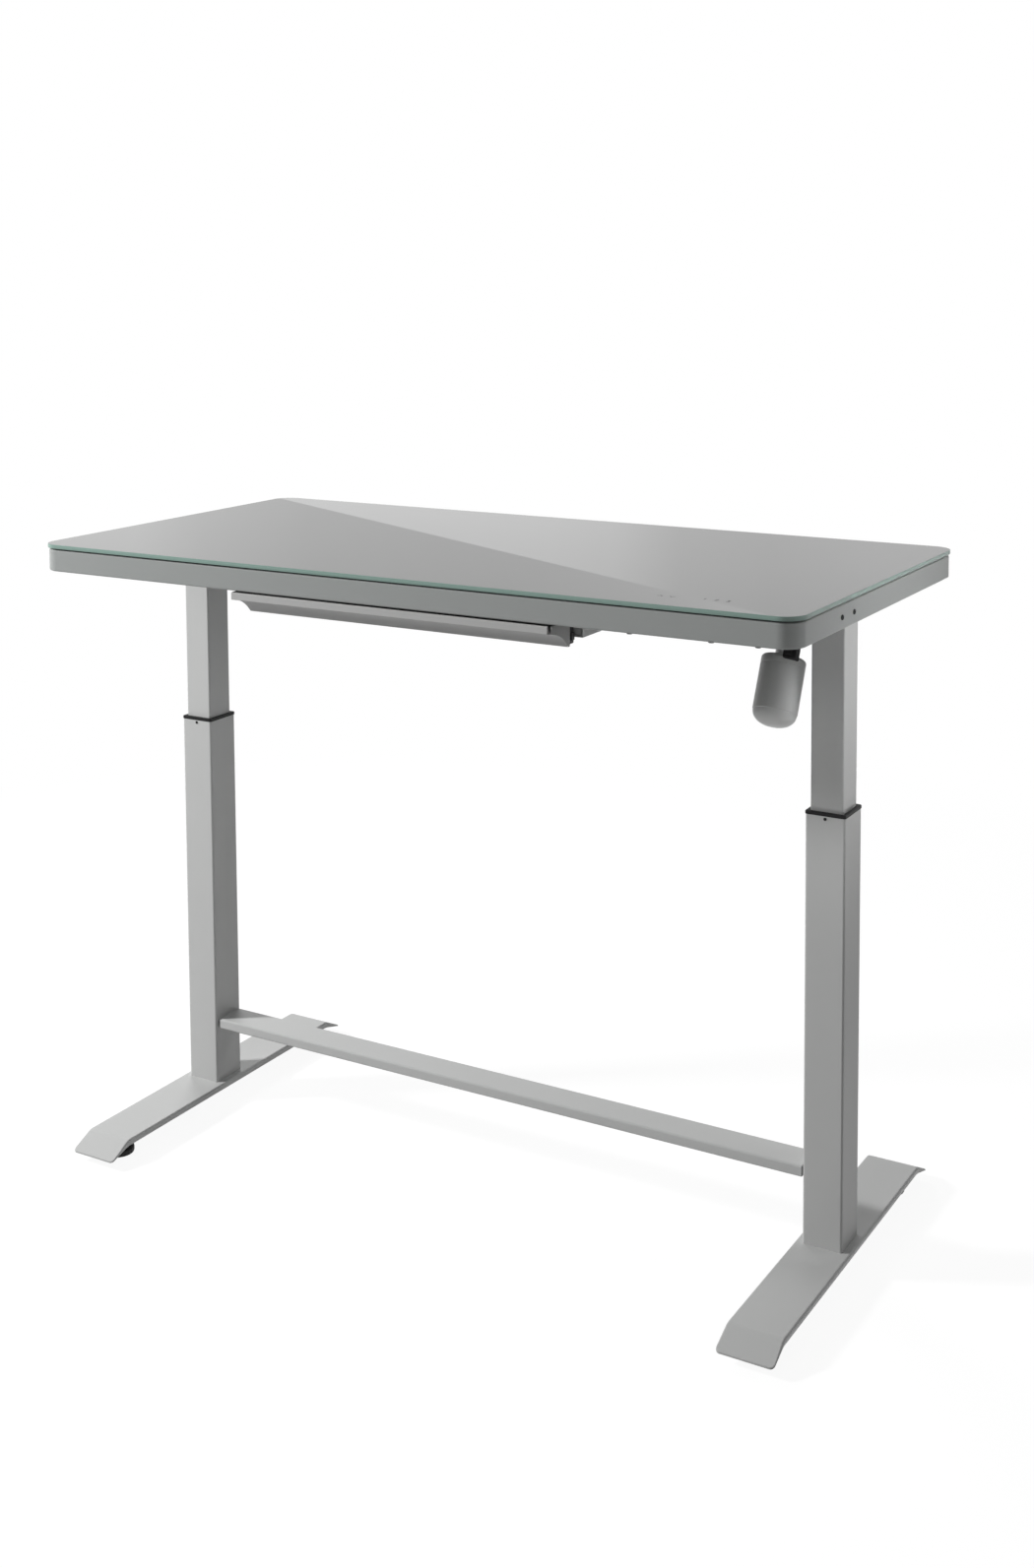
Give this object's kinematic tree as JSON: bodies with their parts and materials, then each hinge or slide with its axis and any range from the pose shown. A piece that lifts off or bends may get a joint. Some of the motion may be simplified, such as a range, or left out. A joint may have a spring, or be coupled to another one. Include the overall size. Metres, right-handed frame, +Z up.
{
  "type": "height adjustable standing desk",
  "caption": "Sit-stand desk with a grey glass top on a folded steel tray, telescopic columns on sheet feet, a slim drawer, and a gear motor turning a cross shaft and lead screws.",
  "frame": {"origin": "centre of the footprint, on the floor", "axes": "+Z up, -Y towards the front where the drawer opens, +X to the right of a person sitting at it"},
  "size_m": [1.2, 0.6, 0.9462],
  "materials": {
    "grey_glass": "polished, back painted grey",
    "black_foam": "matte",
    "black_plastic": "satin",
    "ribbon_plastic": "satin",
    "white_plastic": "satin",
    "black_screw": "black oxide",
    "zinc_steel": "zinc plated",
    "cast_aluminium": "as cast",
    "drawer_paint": "powder coat",
    "grey_paint": "powder coat"
  },
  "bodies": {
    "base": {"collar_left": "black_plastic", "collar_right": "black_plastic", "collar_screws": "black_screw", "crossbar": "grey_paint", "crossbar_bolts": "zinc_steel", "crossbar_bracket_left": "grey_paint", "crossbar_bracket_right": "grey_paint", "foot_bolts": "zinc_steel", "foot_left": "grey_paint", "foot_right": "grey_paint", "nut_post_left": "grey_paint", "nut_post_right": "grey_paint", "outer_column_left": "grey_paint", "outer_column_right": "grey_paint", "spindle_nut_left": "white_plastic", "spindle_nut_right": "white_plastic"},
    "top": {"bonding_tape": "black_foam", "control_box": "black_plastic", "desk_tray": "grey_paint", "drawer_runner_left": "grey_paint", "drawer_runner_right": "grey_paint", "flange_screws": "zinc_steel", "gearbox_left": "cast_aluminium", "gearbox_right": "cast_aluminium", "glass_top": "grey_glass", "glide_shoe_left": "white_plastic", "glide_shoe_right": "white_plastic", "head_bolts": "zinc_steel", "inner_column_left": "grey_paint", "inner_column_right": "grey_paint", "leg_bracket_left": "grey_paint", "leg_bracket_right": "grey_paint", "mains_inlet": "black_plastic", "motor_can": "grey_paint", "motor_gear_head": "cast_aluminium", "motor_lead": "black_plastic", "motor_plug": "black_plastic", "side_screws": "black_screw", "touch_panel": "black_plastic", "touch_ribbon": "ribbon_plastic"},
    "drawer": {"drawer_end_cap_left": "drawer_paint", "drawer_end_cap_right": "drawer_paint", "drawer_front": "drawer_paint", "drawer_rail_left": "grey_paint", "drawer_rail_right": "grey_paint", "drawer_tray": "drawer_paint"},
    "cross_shaft": {"cross_shaft": "zinc_steel", "worm_wheel": "zinc_steel", "shaft_gear_left": "zinc_steel", "shaft_gear_right": "zinc_steel"},
    "spindle_left": {"spindle_left": "zinc_steel", "spindle_gear_left": "zinc_steel"},
    "spindle_right": {"spindle_right": "zinc_steel", "spindle_gear_right": "zinc_steel"},
    "levelling_foot_front_left": {"levelling_foot_front_left": "black_plastic"},
    "levelling_foot_front_right": {"levelling_foot_front_right": "black_plastic"},
    "levelling_foot_rear_left": {"levelling_foot_rear_left": "black_plastic"},
    "levelling_foot_rear_right": {"levelling_foot_rear_right": "black_plastic"}
  },
  "joints": [
    {"name": "lift", "type": "slide", "parent": "base", "child": "top", "axis": [0, 0, 1], "range_m": [-0.22, 0.26]},
    {"name": "drawer_slide", "type": "slide", "parent": "top", "child": "drawer", "axis": [0, -1, 0], "range_m": [0, 0.25]},
    {"name": "shaft_turn", "type": "hinge", "parent": "top", "child": "cross_shaft", "pos_m": [0, 0, 0.915], "axis": [1, 0, 0], "range_deg": [-11705, 9905]},
    {"name": "spindle_left_turn", "type": "hinge", "parent": "top", "child": "spindle_left", "pos_m": [-0.5315, 0, 0.6], "axis": [0, 0, 1], "range_deg": [-11705, 9905]},
    {"name": "spindle_right_turn", "type": "hinge", "parent": "top", "child": "spindle_right", "pos_m": [0.5315, 0, 0.6], "axis": [0, 0, 1], "range_deg": [-9905, 11705]},
    {"name": "leveller_front_left", "type": "slide", "parent": "base", "child": "levelling_foot_front_left", "axis": [0, 0, -1], "range_m": [0, 0.01]},
    {"name": "leveller_front_right", "type": "slide", "parent": "base", "child": "levelling_foot_front_right", "axis": [0, 0, -1], "range_m": [0, 0.01]},
    {"name": "leveller_rear_left", "type": "slide", "parent": "base", "child": "levelling_foot_rear_left", "axis": [0, 0, -1], "range_m": [0, 0.01]},
    {"name": "leveller_rear_right", "type": "slide", "parent": "base", "child": "levelling_foot_rear_right", "axis": [0, 0, -1], "range_m": [0, 0.01]}
  ],
  "couplings": [
    {"joint": "shaft_turn", "follows": "lift", "rad_per_m": -785.4},
    {"joint": "spindle_left_turn", "follows": "lift", "rad_per_m": -785.4},
    {"joint": "spindle_right_turn", "follows": "lift", "rad_per_m": 785.4}
  ]
}
